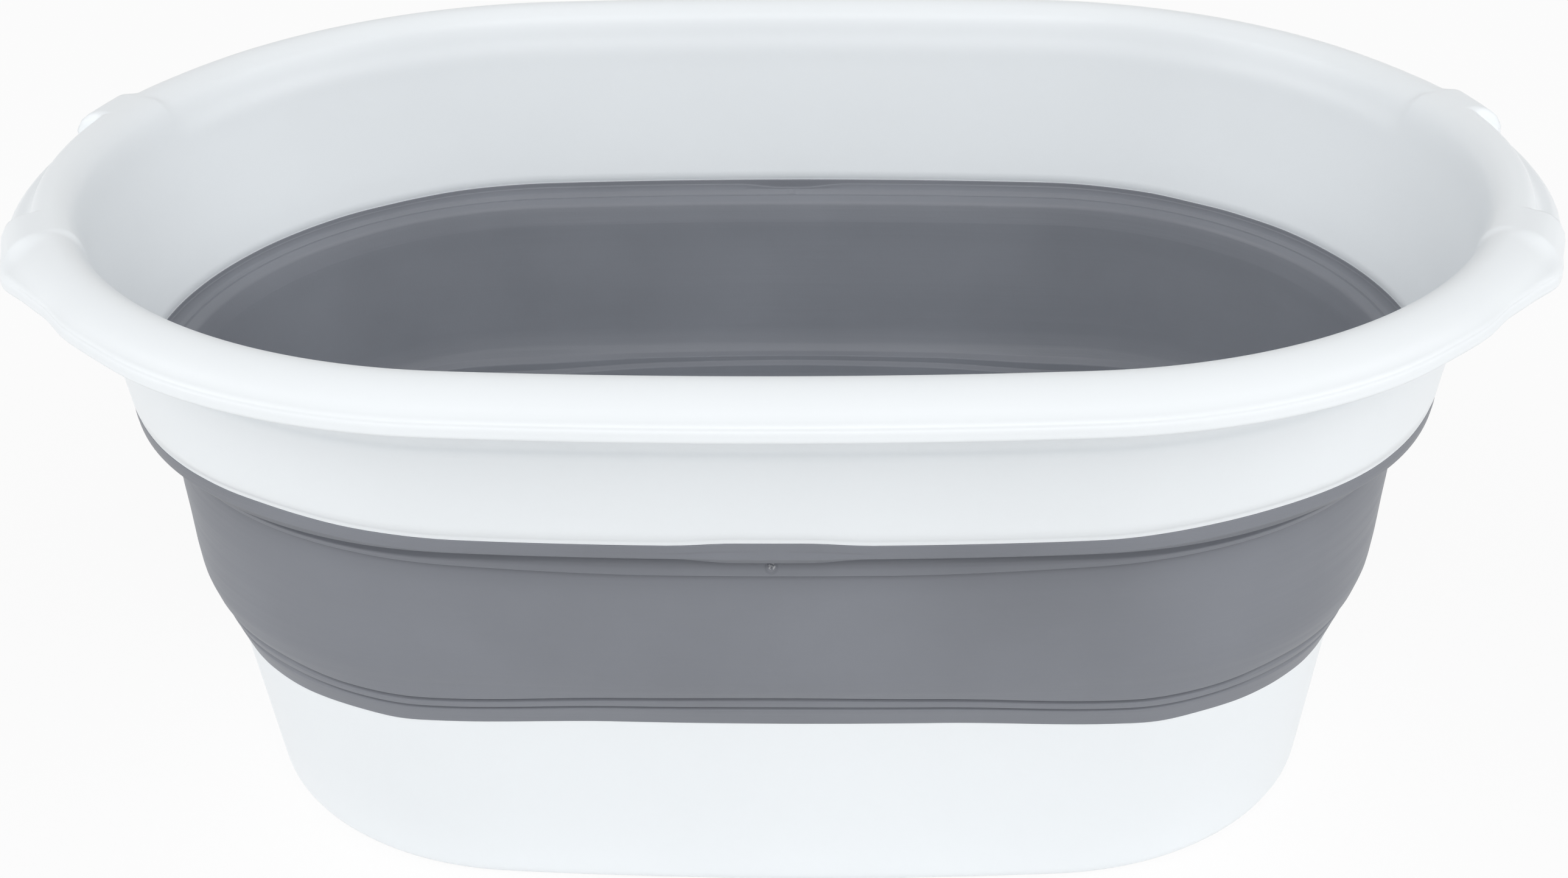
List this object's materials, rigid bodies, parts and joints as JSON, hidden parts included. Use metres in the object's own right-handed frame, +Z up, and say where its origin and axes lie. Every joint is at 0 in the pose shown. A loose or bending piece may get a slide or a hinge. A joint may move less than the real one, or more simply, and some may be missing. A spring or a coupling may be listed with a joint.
{
  "type": "collapsible washing-up bowl",
  "caption": "Collapsible oval washing-up tub: white rim frame with end handles, grey rubber wall that folds inside out, and a white base tub that the rim sinks around when pushed flat.",
  "frame": {"origin": "centre of the foot ring, on the floor that the tub stands on", "axes": "+X along the tub's length towards one handle, +Y across its width, +Z up"},
  "size_m": [0.5898, 0.398, 0.2558],
  "materials": {
    "white_plastic": "semi-gloss white polypropylene",
    "grey_rubber": "satin grey thermoplastic rubber"
  },
  "bodies": {
    "base": {"base_tub": "white_plastic", "lower_wall_lip": "grey_rubber", "folding_wall": "grey_rubber"},
    "rim": {"rim_frame": "white_plastic", "upper_wall_lip": "grey_rubber"}
  },
  "joints": [
    {"name": "collapse", "type": "slide", "parent": "base", "child": "rim", "axis": [0, 0, 1], "range_m": [-0.153, 0], "deforming": ["folding_wall"]}
  ]
}
